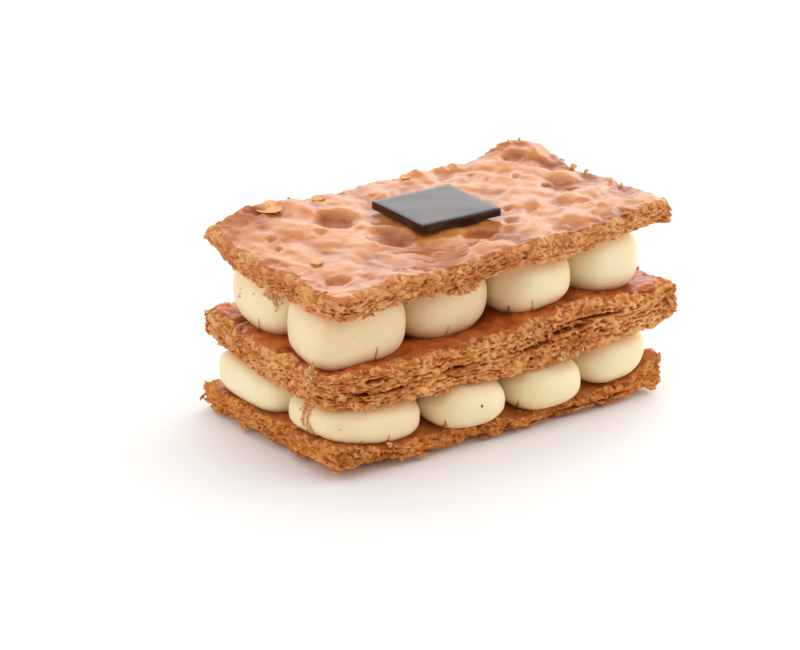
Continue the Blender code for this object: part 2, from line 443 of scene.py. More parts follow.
def workSides(plan, look, side, fromTop, fromUnder, firm):
    # works leaves, gaps, pores and lumps into the cut sides, only where they can show
    seed = look["seed"]
    near = (side > -2.2) & (side < sheets["cutDepth"]) & (fromTop > -1.0) & (fromUnder > -1.0)
    i, j, k = np.nonzero(near)
    x, y, thick, share = plan["gridX"][i, j], plan["gridY"][i, j], plan["thick"][i, j], plan["share"][k]
    z = share * thick
    # counts the leaves from the low face up; a gap may open where two of them meet
    phase = share * look["leaves"] + 0.8 * grain(x, y, 0, 11.0, seed + 11)
    phase = phase + look["warp"] * grain(x, y, z, 2.6, seed + 12)
    leaf, seam = np.floor(phase), np.rint(phase)
    atSeam = 1 - 2 * np.abs(phase - seam)
    ragged = 0.5 * grain(x, y, leaf * 7.7, 1.3, seed + 13) + 0.6 * grain(x, y, leaf * 7.7, 4.0, seed + 14)
    opened = np.clip(0.3 + 1.6 * grain(x, y, seam * 9.1, 4.0, seed + 15), 0, 1)
    gap = look["gaps"] * opened * smooth((atSeam - 0.55) / 0.4)
    for (slotX, slotY), level, (reachX, depth, height) in look["slots"]:
        along = np.abs(x - slotX) / reachX
        away = np.abs((share - level) * thick + 0.25 * grain(x, y, 0, 3.0, seed + 20)) / height
        slot = depth * smooth(1.6 * (1 - along)) * smooth(1.5 * (1 - away))
        gap = np.maximum(gap, slot * (np.abs(y - slotY) < 9))
    spongy = grain(x, y, z * 1.9, look["poreSize"], seed + 16)
    spongy = spongy + 0.45 * grain(x, y, z * 1.9, look["poreSize"] * 0.5, seed + 17)
    pore = look["pores"] * smooth((spongy - 0.2) / 0.45)
    lumps = look["lumps"] * (np.abs(grain(x, y, z * 1.3, 1.9, seed + 18)) - 0.3)
    rough = 0.26 * grain(x, y, z, 0.85, seed + 29)
    bulge = 0.55 * grain(x, y, 0, 7.0, seed + 19)
    beneath = smooth((fromTop[near] - look["skin"]) / 0.7)
    worked = side[near] + look["ragged"] * ragged + lumps + rough + bulge
    side[near] = worked - (gap + pore) * beneath * firm[i, j]


def crumbField(plan, look):
    # how deep a point lies inside the crumb, in mm, on a grid that follows the sheet's two faces
    plan["thick"] = np.maximum(plan["high"] - plan["low"], sheets["thinnest"])
    rows = int(np.ceil(np.percentile(plan["thick"][plan["inside"] > 0], 90) / look["rise"]))
    share = np.arange(-sheets["spare"], rows + sheets["spare"] + 1) / rows
    plan["share"] = share
    firm = workFaces(plan, look)
    fromTop = (1 - share) * plan["thick"][..., None] + plan["relief"][..., None]
    fromUnder = share * plan["thick"][..., None] + plan["under"][..., None]
    side = np.repeat(plan["inside"][..., None], len(share), axis=2)
    nominal = np.minimum(side, np.minimum(fromTop, fromUnder))
    workSides(plan, look, side, fromTop, fromUnder, firm)
    field = softMin(side, fromTop, 0.15 + 0.75 * firm[..., None])
    field = softMin(field, fromUnder, 0.1 + 0.4 * firm[..., None])
    return field, nominal


def joinedToCore(field, core):
    # drops bits of crumb that hang on nothing
    inside = field > 0
    kept = inside & core
    for _ in range(sheets["hops"]):
        grown = kept.copy()
        for axis in range(3):
            grown |= np.roll(kept, 1, axis) | np.roll(kept, -1, axis)
        grown &= inside
        if (grown == kept).all():
            break
        kept = grown
    return np.where(inside & ~kept, -0.05, field)


def surfaceOf(field):
    # a closed skin of four-sided faces through the places where the field changes sign;
    # points are counted in grid steps
    inside = field > 0
    shape = np.array(field.shape) - 1
    corners = [(a, b, c) for a in (0, 1) for b in (0, 1) for c in (0, 1)]
    total = sum(inside[a:a + shape[0], b:b + shape[1], c:c + shape[2]].astype(np.int8)
                for a, b, c in corners)
    crossed = (total > 0) & (total < 8)
    cells = np.argwhere(crossed)
    number = np.full(crossed.shape, -1, np.int64)
    number[crossed] = np.arange(len(cells))
    place = np.zeros((len(cells), 3))
    count = np.zeros(len(cells))
    for axis in range(3):
        step = np.eye(3, dtype=int)[axis]
        for a in (0, 1):
            for b in (0, 1):
                start = np.insert([a, b], axis, 0)
                here, there = cells + start, cells + start + step
                first = field[here[:, 0], here[:, 1], here[:, 2]]
                second = field[there[:, 0], there[:, 1], there[:, 2]]
                cut = (first > 0) != (second > 0)
                share = np.where(cut, first / np.where(cut, first - second, 1), 0)
                place += np.where(cut[:, None], start + share[:, None] * step, 0)
                count += cut
    points = cells + place / count[:, None]
    faces = []
    for axis in range(3):
        one, two = (axis + 1) % 3, (axis + 2) % 3
        low = np.take(inside, range(shape[axis]), axis)
        high = np.take(inside, range(1, shape[axis] + 1), axis)
        edges = np.argwhere(low != high)
        edges = edges[(edges[:, one] > 0) & (edges[:, two] > 0)
                      & (edges[:, one] < shape[one]) & (edges[:, two] < shape[two])]
        ring = []
        for back in ((1, 1), (0, 1), (0, 0), (1, 0)):
            cell = edges.copy()
            cell[:, one] -= back[0]
            cell[:, two] -= back[1]
            ring.append(number[cell[:, 0], cell[:, 1], cell[:, 2]])
        quads = np.stack(ring, axis=1)
        outward = inside[edges[:, 0], edges[:, 1], edges[:, 2]]
        quads[~outward] = quads[~outward][:, ::-1]
        faces.append(quads)
    return points, np.concatenate(faces)


def coarser(points, faces, shades, steps):
    # joins the points of plain areas into larger cells, steps wide; steps of 1 are left alone
    cell = np.floor(points / steps[:, None]).astype(np.int64)
    upper = points[:, 2] > points[:, 2].mean()
    # one number for each cell in plan, in the upper or lower half, at its own step
    key = ((cell[:, 0] * 1009 + cell[:, 1]) * 2 + upper) * 8 + steps
    owner = np.arange(len(points))
    picked = np.nonzero(steps > 1)[0]
    _, inverse = np.unique(key[picked], return_inverse=True)
    owner[picked] = len(points) + inverse
    _, owner = np.unique(owner, return_inverse=True)
    weight = np.bincount(owner).astype(float)
    moved = np.stack([np.bincount(owner, points[:, k]) / weight for k in range(3)], axis=1)
    shades = {label: np.bincount(owner, values) / weight for label, values in shades.items()}
    made = []
    for quad in owner[faces].tolist():
        ring = [v for n, v in enumerate(quad) if v != quad[n - 1]]
        if len(set(ring)) == len(ring) > 2:
            made.append(ring)
    return moved, made, shades


def readAt(plan, name, x, y):
    # a value of the plan at places in millimetres
    return sampled(plan[name], (x - plan["x"][0]) / sheets["step"], (y - plan["y"][0]) / sheets["step"])


def sampled(values, i, j):
    # reads a grid between its points
    a, b = np.clip(i.astype(int), 0, values.shape[0] - 2), np.clip(j.astype(int), 0, values.shape[1] - 2)
    u, v = i - a, j - b
    return ((values[a, b] * (1 - u) + values[a + 1, b] * u) * (1 - v)
            + (values[a, b + 1] * (1 - u) + values[a + 1, b + 1] * u) * v)


# plainSheet holds what a sheet has unless its own look says otherwise.
# Lengths are in mm and places are x and y; a height is added to a face, a depth is cut into it.
# cut sides: ragged leaf ends, gaps between leaves, pores and lumps, and slots, the larger gaps,
# each with its place, level and reach, depth and height; skin is what stays whole under the glaze.
# high face: waves, creases, fine grain, blisters (size, height at the left and at the right),
# bumps, dimples and ridges; broken is how far in from the edge the top leaf has come off.
# low face: under is its grain and lift how much it rises along the edge.
# puffed: which face, place, size and height.
plainSheet = {
    "rise": 0.30,                # between points upwards
    "leaves": 7, "warp": 0.5,    # layers of a cut side and how they wander
    "under": 0.6,                # relief of the low face
    "leaf": 0.5,                 # thickness of the leaf that breaks off along the edge
    "bare": (),                  # where it breaks off further: place, reach
    "bumps": (), "dimples": (), "ridges": (), "slots": (),
    "glazeShadeAndLightPatches": (),               # patches of painted shade, or with a negative amount painted light, on the glaze: place, size, amount
    "paintedGlazeShade": 0.6,                # painted shade: darker glaze by the feet of the cream
}
# in each finish, hollow is how strongly painted shade darkens the crumb in its hollows
sheetLooks = {
    "pastry_bottom": {
        **plainSheet, "seed": 40, "ragged": 0.7, "gaps": 1.4, "pores": 0.9, "poreSize": 1.2, "lumps": 0.7,
        "skin": 0.3, "under": 0.8, "lift": 2.3, "waves": 0.3, "creases": 0.2, "fine": 0.2, "broken": 3.2,
        "leaf": 0.4, "blisters": ((7.0, 0.3, 0.3),),
        "puffed": (("high", (51.5, -27.0), (5.5, 7.0), 3.0), ("high", (-57.0, 31.0), (9.0, 9.0), 0.9)),
        "slots": (((25.0, -31.0), 0.5, (16.0, 2.6, 0.5)), ((8.0, -31.0), 0.3, (9.0, 2.6, 0.5))),
        "finish": {
            "hollow": 0.32, "gloss": 0.32, "coat": 0.3, "coatRoughness": 0.2, "wrinkled": 0.6,
            "crumb": [(0.0, (0.86, 0.375, 0.105)), (0.35, (0.64, 0.204, 0.035)),
                      (1.0, (0.24, 0.039, 0.003))],
            "glaze": [(0.2, (0.56, 0.190, 0.045)), (0.8, (0.36, 0.095, 0.018))],
        },
    },
    "pastry_middle": {
        **plainSheet, "seed": 80, "rise": 0.42, "warp": 0.45, "leaves": 11, "ragged": 0.75, "gaps": 1.8,
        "pores": 1.0, "poreSize": 1.25, "lumps": 0.75, "skin": 0.25, "lift": 1.0, "waves": 0.45,
        "creases": 0.5, "fine": 0.35, "broken": 3.6, "blisters": ((8.0, 0.4, 0.4),),
        "bare": (((56.0, -30.0), 3.0), ((-57.0, -29.0), 2.0), ((24.0, -31.0), 3.0), ((40.0, -31.0), 3.4)),
        "puffed": (("high", (-52.0, 33.0), (10.0, 9.0), 2.0), ("low", (56.0, -31.0), (7.0, 8.0), -1.0)),
        "slots": (
            ((18.0, -31.0), 0.62, (9.0, 4.2, 0.7)), ((28.0, -31.0), 0.72, (9.0, 3.8, 0.5)),
            ((7.0, -31.0), 0.5, (6.0, 3.6, 0.55)), ((-42.0, -31.0), 0.42, (9.0, 3.4, 0.55)),
            ((-43.0, -31.0), 0.74, (3.5, 3.2, 0.6)), ((-16.0, -31.0), 0.5, (8.0, 3.2, 0.45))),
        "finish": {
            "hollow": 0.42, "gloss": 0.28, "coat": 0.4, "coatRoughness": 0.1, "wrinkled": 0.9,
            "crumb": [(0.0, (0.95, 0.500, 0.195)), (0.35, (0.74, 0.262, 0.060)),
                      (1.0, (0.27, 0.046, 0.005))],
            "glaze": [(0.2, (0.63, 0.172, 0.027)), (0.55, (0.46, 0.104, 0.013)),
                      (0.95, (0.22, 0.04, 0.005))],
        },
    },
    "pastry_top": {
        **plainSheet, "seed": 10, "ragged": 0.55, "gaps": 1.2, "pores": 0.95, "poreSize": 1.1, "lumps": 0.6,
        "skin": 0.7, "lift": 0.9, "waves": 0.6, "creases": 0.6, "fine": 0.11, "broken": 1.0, "paintedGlazeShade": 0.0,
        "blisters": ((12.0, 0.8, 1.1), (7.0, 0.2, 0.6)),
        "glazeShadeAndLightPatches": (
            ((-34.0, -24.0), (20.0, 8.0), 0.5), ((2.0, -26.0), (24.0, 7.0), 0.55),
            ((-5.0, -13.0), (9.0, 5.0), -0.3)),
        "bare": (
            ((-57.0, 31.0), 2.4), ((-56.0, 12.0), 1.4), ((-55.0, -8.0), 2.0), ((20.0, -31.0), 1.6),
            ((-20.0, -30.0), 2.2), ((-36.0, -29.0), 1.8)),
        "puffed": (("high", (-52.0, 33.0), (14.0, 7.0), 1.1), ("low", (56.0, -31.0), (6.0, 8.0), -0.6)),
        # place, size and height
        "bumps": (
            ((54.0, 6.0), (9.0, 14.0), -1.1), ((50.0, 31.0), (5.0, 5.0), -0.5),
            ((57.5, 31.0), (3.0, 4.0), 0.9), ((28.5, -4.5), (4.6, 4.4), 0.6),
            ((37.0, -20.0), (4.0, 3.4), 0.5), ((12.7, 31.2), (2.4, 2.0), 0.8),
            ((-34.0, -6.0), (5.0, 4.0), 0.5), ((46.0, 8.0), (3.4, 2.8), 0.6),
            ((20.0, 13.0), (3.4, 2.8), 0.5), ((-8.0, -24.0), (5.0, 2.8), 0.4)),
        # place, size, depth and turn
        "dimples": (
            ((-24.8, 15.8), (6.0, 5.6), 0.9, 0), ((-19.5, -1.7), (5.4, 6.2), 0.9, 0),
            ((-33.2, 10.6), (2.0, 1.6), 0.8, 0), ((-42.1, 29.9), (2.6, 1.6), 0.8, 0),
            ((-47.7, -18.5), (3.8, 2.6), 0.7, -30), ((-45.5, 14.3), (1.5, 1.0), 0.8, 20),
            ((-47.6, 8.5), (1.8, 1.2), 0.8, 20), ((12.3, -12.8), (2.6, 2.2), 0.9, 0),
            ((0.3, -13.7), (4.4, 3.6), 0.8, -30), ((37.5, 4.5), (1.6, 1.4), 0.9, 0),
            ((33.3, 13.4), (1.7, 1.3), 0.8, 0), ((17.0, -4.6), (1.6, 1.3), 0.7, 0),
            ((40.4, -2.4), (2.0, 1.8), 0.8, 0), ((22.2, -7.9), (2.4, 2.0), 0.6, 0),
            ((25.7, 20.6), (3.0, 2.2), 0.8, 0), ((35.9, -13.9), (2.2, 1.7), 0.7, 0),
            ((42.1, 25.0), (3.8, 2.4), 0.8, 0), ((48.5, -9.0), (2.4, 1.7), 0.7, 0)),
        # from one place to another, width and height
        "ridges": (
            ((-32.9, -12.0), (-32.2, -22.5), 0.55, 0.45), ((-51.0, 12.0), (-53.0, 3.0), 0.5, 0.4),
            ((-53.0, 3.0), (-48.0, -7.5), 0.5, 0.45), ((-16.0, -17.0), (-4.0, -23.0), 0.6, 0.4),
            ((14.0, -19.0), (22.0, -23.5), 0.6, 0.5), ((24.0, 4.0), (31.0, 7.0), 0.6, 0.45),
            ((-8.0, 22.0), (4.0, 26.0), 0.6, 0.4), ((30.0, -22.0), (44.0, -17.0), 0.6, 0.45)),
        "finish": {
            "hollow": 0.33, "gloss": 0.24, "coat": 0.55, "coatRoughness": 0.07, "wrinkled": 0.75,
            "crumb": [(0.0, (0.93, 0.485, 0.195)), (0.35, (0.72, 0.262, 0.070)),
                      (1.0, (0.30, 0.056, 0.008))],
            "glaze": [(0.1, (0.68, 0.255, 0.070)), (0.5, (0.54, 0.168, 0.037)),
                      (0.95, (0.34, 0.080, 0.012))],
        },
    },
}
plans = {}


def pastryFinish(name, look):
    finish = Finish(name)
    shadeAndTone = finish.attribute("shadeAndTone")
    skin = finish.attribute("skin")
    poolAndShade = finish.attribute("poolAndShade")
    fine = finish.noise(0.55, 3.0, 0.6, stretch=(1.0, 1.0, 2.6))
    lumps = finish.noise(1.7, 2.0, 0.5, stretch=(1.0, 1.0, 1.6))
    patch = finish.noise(5.0, 3.0, 0.55)
    broad = finish.noise(16.0, 2.0)
    # crumb: golden on its edges and, as painted shade, dark in its hollows
    tone = shadeAndTone * look["hollow"] + (fine - 0.5) * 0.9 + (lumps - 0.5) * 0.8 + (patch - 0.5) * 0.7 + 0.22
    crumb = finish.ramp(tone, look["crumb"])
    # glaze: burnt sugar, thin on the high places, darker where it pools in hollows and, as painted shade,
    # by the feet of the cream
    wrinkles = finish.noise(3.2, 4.0, 0.6, distortion=0.8)
    burnt = (patch - 0.5) * 0.9 + (broad - 0.5) * 0.6 + (wrinkles - 0.5) * 0.7 + poolAndShade * 0.5 + 0.42
    sheet = finish.ramp(burnt, look["glaze"])
    mask = finish.between(skin + (fine - 0.5) * 0.5, 0.42, 0.72)
    finish.set({
        "Base Color": finish.mix(mask, crumb, sheet),
        "Roughness": (1 - mask) * 0.34 + look["gloss"] + (fine - 0.5) * 0.08,
        "Coat Weight": mask * look["coat"] * finish.between(poolAndShade, 1.0, 0.2),
        "Coat Roughness": look["coatRoughness"],
        "Specular IOR Level": 0.15,
        "Subsurface Weight": 0.12,
        "Subsurface Scale": 0.0012,
        "Subsurface Radius": (1.0, 0.5, 0.2),
        "Normal": finish.bump((fine + finish.noise(0.24, 2.0) * 0.4) * (1 - mask * 0.95)
                              + (wrinkles + finish.noise(1.3, 2.0) * 0.22) * mask * look["wrinkled"], 0.36),
    })
    return finish.material


def paintedGlazeShade(node, x, y):
    # painted shade: the glaze is coloured darker close to the feet of the cream that stands on it; the
    # listed patches add painted shade and painted light
    dark = np.zeros(x.shape)
    row = {"pastry_bottom": "cream_lower", "pastry_middle": "cream_upper"}.get(node, "none")
    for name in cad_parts:
        if name.startswith(row):
            middle, half = middleOf(name)
            acrossX, acrossY = np.abs((x - middle[0]) / half[0]), np.abs((y - middle[1]) / half[1])
            away = (acrossX ** 3 + acrossY ** 3) ** (1 / 3)
            dark = np.maximum(dark, smooth((1.22 - away) / 0.4))
    dark *= sheetLooks[node]["paintedGlazeShade"]
    for place, size, amount in sheetLooks[node]["glazeShadeAndLightPatches"]:
        dark += amount * np.exp(-rounds(x, y, place, size))
    return dark


def bakeSheet(node, look):
    plan = plans[node] = planOf(node, look)
    plan["paintedGlazeShade"] = paintedGlazeShade(node, plan["gridX"], plan["gridY"])
    field, nominal = crumbField(plan, look)
    field = joinedToCore(field, nominal > sheets["cutDepth"] - 2.5)
    field = -joinedToCore(-field, nominal < -0.8)
    field[[0, -1]] = field[:, [0, -1]] = field[:, :, [0, -1]] = -1.0
    points, faces = surfaceOf(field)
    i, j, k = points.T
    level = np.interp(k, np.arange(len(plan["share"])), plan["share"])
    tall = sampled(plan["thick"], i, j)
    inside = sampled(plan["inside"], i, j)
    relief = sampled(plan["relief"], i, j)
    below = (1 - level) * tall + relief
    above = level * tall + sampled(plan["under"], i, j)
    # painted shade: the deeper a point lies in the crumb, the darker the finish colours it; on the bare
    # crumb, pits darker and bumps paler
    shadeAndTone = np.clip(np.minimum(inside, np.minimum(below, above)), -1, 6)
    shadeAndTone = shadeAndTone - 1.3 * sampled(plan["crumbly"], i, j) * (1 - np.clip(below / 1.4, 0, 1))
    skin = (1 - np.clip(below / 1.4, 0, 1)) * sampled(plan["glazed"], i, j)
    # cells grow where the sheet is smooth, and more where the cream hides it
    steps = np.where((inside > 3.6) & (np.minimum(below, above) < 1.0), 2, 1)
    steps[(inside > 8.0) & ((above < below) | (node != "pastry_top"))] = sheets["coarse"]
    # darker glaze where it pools in hollows, plus the painted shade by the cream and the painted patches
    shades = {"shadeAndTone": shadeAndTone, "skin": skin, "poolAndShade": sampled(plan["paintedGlazeShade"], i, j) - relief}
    points, faces, shades = coarser(points, faces, shades, steps)
    i, j, k = points.T
    level = np.interp(k, np.arange(len(plan["share"])), plan["share"])
    height = sampled(plan["low"], i, j) + level * sampled(plan["thick"], i, j)
    place = np.stack([np.interp(i, np.arange(len(plan["x"])), plan["x"]),
                      np.interp(j, np.arange(len(plan["y"])), plan["y"]),
                      np.maximum(height, sheets["lowest"])], axis=1)
    finish = pastryFinish(node, look["finish"])
    addPiece(node + "_crumb", place, faces, finish, shades, node)
    plan["finish"] = finish
    print(f"{node}_crumb: {sum(len(f) - 2 for f in faces)} triangles")


for sheetNode, sheetLook in sheetLooks.items():
    bakeSheet(sheetNode, sheetLook)


flakes = {
    # points along a flake and out over it, and the shape of its rim
    "fineness": (7, 4), "ragged": 0.22, "rounding": 0.1, "taper": 0.45,
    # how many lie along the leaves of each sheet's cut sides, and how many peel off them
    "pastry_top": {"count": 230, "peels": 26},
    "pastry_middle": {"count": 440, "peels": 50},
    "pastry_bottom": {"count": 300, "peels": 30},
    "tilt": 14,              # degrees, the spread of those that lie
    "peeled": (-75, 70),     # degrees, hanging down or standing up
    "thinEdge": 3.5, "stub": 0.3,    # mm, where a sheet is thinner its flakes stay this short
}


def flakeFaces(along, out):
    # a thin leaf: its upper side, and an under side that shares the rim with it
    upper = np.arange(along * out).reshape(along, out)
    under = upper.copy()
    under[1:-1, 1:-1] = along * out + np.arange((along - 2) * (out - 2)).reshape(along - 2, out - 2)
    faces = []
    for a in range(along - 1):
        for b in range(out - 1):
            faces.append([upper[a, b], upper[a + 1, b], upper[a + 1, b + 1], upper[a, b + 1]])
            faces.append([under[a, b + 1], under[a + 1, b + 1], under[a + 1, b], under[a, b]])
    return np.array(faces)


def leafPoints(rng, roots, tangents, outs, sizes, curls, thickness, look):
    # the points of many leaves at once; sizes are width and reach
    along, out = look["fineness"]
    count = len(roots)
    wide, long = sizes[:, 0, None, None], sizes[:, 1, None, None]
    u = np.linspace(-0.5, 0.5, along)[None, :, None]
    v = np.linspace(0.0, 1.0, out)[None, None, :]
    ragged = rng.normal(0, look["ragged"], (count, along, 1)) * v
    narrow = 1 - look["taper"] * v * rng.uniform(0, 1, (count, 1, 1)) - look["rounding"] * (2 * v - 1) ** 2
    sway = rng.normal(0, 0.5 * look["ragged"], (count, along, out))
    reach = (v * (1 - look["rounding"] * 4 * u * u) + ragged) * long
    reach = reach + rng.normal(0, 0.2 * look["ragged"], (count, along, out)) * (v > 0) * long
    width = (u * narrow + rng.normal(0, 0.2 * look["ragged"], (count, along, out))) * wide
    lift = curls[:, 0, None, None] * v ** 2 * long
    lift = lift + curls[:, 1, None, None] * (4 * u * u) * wide * 0.25
    lift = lift + sway * 0.35 * np.minimum(wide, 2.0)
    normals = unit(np.cross(outs, tangents))
    points = (roots[:, None, None, :] + width[..., None] * tangents[:, None, None, :]
              + reach[..., None] * outs[:, None, None, :] + lift[..., None] * normals[:, None, None, :])
    body = points[:, 1:-1, 1:-1]
    half = thickness[:, None, None, None] * normals[:, None, None, :] / 2
    lower = (body - half).reshape(count, -1, 3)
    points[:, 1:-1, 1:-1] = body + half
    return np.concatenate([points.reshape(count, -1, 3), lower], axis=1)


def addLeafy(name, points, look, shadeAndTone, finish, node, shades=None):
    # many leaves or shards as one piece, each with its own tone, read by the finish on the same scale as
    # the crumb's painted shade
    count, each = points.shape[:2]
    faces = (flakeFaces(*look["fineness"])[None] + (np.arange(count) * each)[:, None, None]).reshape(-1, 4)
    points = points.reshape(-1, 3)
    points[:, 2] = np.maximum(points[:, 2], sheets["lowest"])
    shadeAndTone = np.broadcast_to(np.reshape(shadeAndTone, (count, -1)), (count, each)).ravel()
    shades = {"shadeAndTone": shadeAndTone, **(shades or {})}
    piece = addPiece(name, points, faces.tolist(), finish, shades, node)
    piece.data.set_sharp_from_angle(angle=math.radians(50))
    print(f"{name}: {2 * len(faces)} triangles")


def alongCut(plan, where):
    # points on the cut line at shares 0 to 1 of its length, with the way along it and the way out
    line = np.vstack([plan["line"], plan["line"][:1]])
    steps = np.linalg.norm(np.diff(line, axis=0), axis=1)
    length = np.concatenate([[0], np.cumsum(steps)])
    at = where * length[-1]
    spot = np.stack([np.interp(at, length, line[:, k]) for k in (0, 1)], axis=1)
    ahead = np.stack([np.interp((at + 1.5) % length[-1], length, line[:, k]) for k in (0, 1)], axis=1)
    behind = np.stack([np.interp((at - 1.5) % length[-1], length, line[:, k]) for k in (0, 1)], axis=1)
    way = unit(ahead - behind)
    return spot, way, np.stack([way[:, 1], -way[:, 0]], axis=1)


def heightAt(plan, spots, level):
    # level is 0 on the low face of a sheet and 1 on its high face
    x, y = spots.T
    return readAt(plan, "low", x, y) + level * readAt(plan, "thick", x, y)


def addFlakes(node, look):
    # leaves that stick out of the cut sides; those that peel off turn up or down
    plan = plans[node]
    rng = np.random.default_rng(sheetLooks[node]["seed"])
    count, peels = look["count"], look["peels"]
    total = count + peels
    spot, way, out = alongCut(plan, rng.uniform(0, 1, total))
    level = rng.uniform(0.02, 0.9, total)
    tilt = np.radians(rng.normal(0, flakes["tilt"], total))
    width = rng.gamma(2.4, 0.6, total) + 0.6
    inset = rng.uniform(1.2, 2.0, total)
    reach = inset + rng.normal(-0.1, 0.25, total).clip(-0.6, 0.5)
    lifted = sheetLooks[node]["lift"] / 6.0
    level = lifted + (1 - lifted) * level
    peeled = np.arange(total) >= count
    tilt[peeled] = np.radians(rng.choice(flakes["peeled"], peels) + rng.normal(0, 10, peels))
    reach[peeled] = rng.uniform(0.9, 2.2, peels)
    width[peeled] = rng.uniform(1.0, 2.8, peels)
    hanging = peeled & (out.sum(axis=1) > 0)    # those on the back and the right side point down
    tilt[hanging] = -np.abs(tilt[hanging])
    inset[peeled] = rng.uniform(0.0, 0.6, peels)
    level[peeled] = rng.uniform(0.2, 0.8, peels)
    inner = spot - out * inset[:, None]
    z = heightAt(plan, inner, level)
    thin = heightAt(plan, inner, 1.0) - heightAt(plan, inner, 0.0) < flakes["thinEdge"]
    reach[thin] = flakes["stub"]
    roots = np.column_stack([inner, z])
    skew = rng.normal(0, 0.25, total)
    tangents = unit(np.column_stack([way + out * skew[:, None], rng.normal(0, 0.08, total)]))
    outs = np.column_stack([out * np.cos(tilt)[:, None], np.sin(tilt)])
    curls = np.column_stack([rng.normal(0, 0.35, total), rng.normal(0, 0.3, total)])
    points = leafPoints(rng, roots, tangents, outs, np.column_stack([width, reach]), curls,
                        rng.uniform(0.16, 0.3, total), flakes)
    # the tip of a flake is paler than its root, which is coloured darker as painted shade where it leaves
    # the crumb
    along, deepRows = flakes["fineness"]
    reachShare = np.tile(np.linspace(0, 1, deepRows), along)
    reachShare = np.concatenate([reachShare, np.full((along - 2) * (deepRows - 2), 0.5)])
    shadeAndTone = 1.4 - 1.6 * reachShare[None, :] + rng.normal(0, 0.6, (total, 1))
    addLeafy(node + "_flakes", points, flakes, shadeAndTone, plan["finish"], node, {"skin": np.zeros(shadeAndTone.size)})


for sheetNode in sheetLooks:
    addFlakes(sheetNode, flakes[sheetNode])


cream = {
    "round": 64, "tall": 40,     # points round a ball and from its foot to its crown
    # powers for the outlines from above and from the side: 2 is an oval, more is squarer
    "powers": (3.0, 2.5),
    "odd": {"cream_upper_1": (3.3, 3.2), "cream_lower_1": (3.3, 2.7), "cream_lower_5": (3.8, 2.7)},
    "corner": 0.8,               # added to the first at the two corners that stand free in front
    "lean": {"cream_upper_1": 3.2, "cream_lower_1": 1.0},   # mm that a piece draws in behind
    "pressed": 0.58,             # half its free height, as a share of the room between the sheets
    "settled": 0.04,             # how much lower than half way a ball is widest, as a share of the same
    "sink": 0.5,                 # mm pressed into the pastry above and below
    "dent": 0.24,                # mm of unevenness
    "footStainAndShade": 5.0,                # mm, how high the caramel stain and painted shade tint a foot
    # display colours: the two shades of the cream, the painted shade and painted light of whole pieces, the
    # stained and shaded feet, and dots
    "colours": ((251, 234, 194), (249, 226, 176)),
    "browner": (237, 207, 163), "paler": (255, 244, 206),
    "stainAndShadeColour": (232, 190, 132), "dots": (150, 110, 70),
    # painted shade and light of whole pieces: how far a piece goes to the browner colour, or below 0 to the
    # paler one
    "paintedPieceShadeAndLight": {"cream_upper_1": 0.5, "cream_upper_2": 0.45, "cream_lower_1": 0.4, "cream_upper_3": 0.2,
             "cream_upper_4": -0.3, "cream_lower_2": 0.2, "cream_lower_4": -0.2, "cream_upper_5": 0.2,
             "cream_upper_6": 0.3, "cream_upper_7": 0.3, "cream_lower_7": 0.3, "cream_lower_5": -0.3},
    "between": {"cream_lower": ("pastry_bottom", "pastry_middle"),
                "cream_upper": ("pastry_middle", "pastry_top")},
}


def creamFinish():
    finish = Finish("pastry_cream")
    broad = finish.noise(9.0, 2.0)
    fine = finish.noise(0.8, 3.0)
    streak = finish.noise(2.4, 2.0, 0.5, stretch=(1.0, 1.0, 0.18))
    speck = finish.node("ShaderNodeTexVoronoi", None, {"Vector": finish.place, "Scale": 210.0})
    dot = finish.between(speck, 0.055, 0.03)
    body = finish.ramp(broad * 0.6 + streak * 0.4, list(zip((0.3, 0.7), map(colour, cream["colours"]))))
    # painted shade and painted light: whole pieces coloured browner or paler
    paintedPieceShadeAndLight = finish.attribute("paintedPieceShadeAndLight")
    body = finish.mix(finish.between(paintedPieceShadeAndLight, 0.0, 1.0), body, colour(cream["browner"]))
    body = finish.mix(finish.between(paintedPieceShadeAndLight, 0.0, -1.0), body, colour(cream["paler"]))
    # caramel stain with painted shade, browner towards the foot
    footStainAndShade = finish.between(finish.attribute("foot") + (broad - 0.5) * 0.5, 0.1, 1.0) * 0.6
    body = finish.mix(footStainAndShade, body, colour(cream["stainAndShadeColour"]))
    finish.set({
        "Base Color": finish.mix(dot * 0.55, body, colour(cream["dots"])),
        "Roughness": 0.42 + (fine - 0.5) * 0.1,
        "Subsurface Weight": 0.35,
        "Subsurface Scale": 0.003,
        "Subsurface Radius": (1.0, 0.7, 0.4),
        "Normal": finish.bump(fine * 0.3 + streak * 0.4, 0.12),
    })
    return finish.material


def squared(value, power):
    return np.copysign(np.abs(value) ** (2 / power), value)


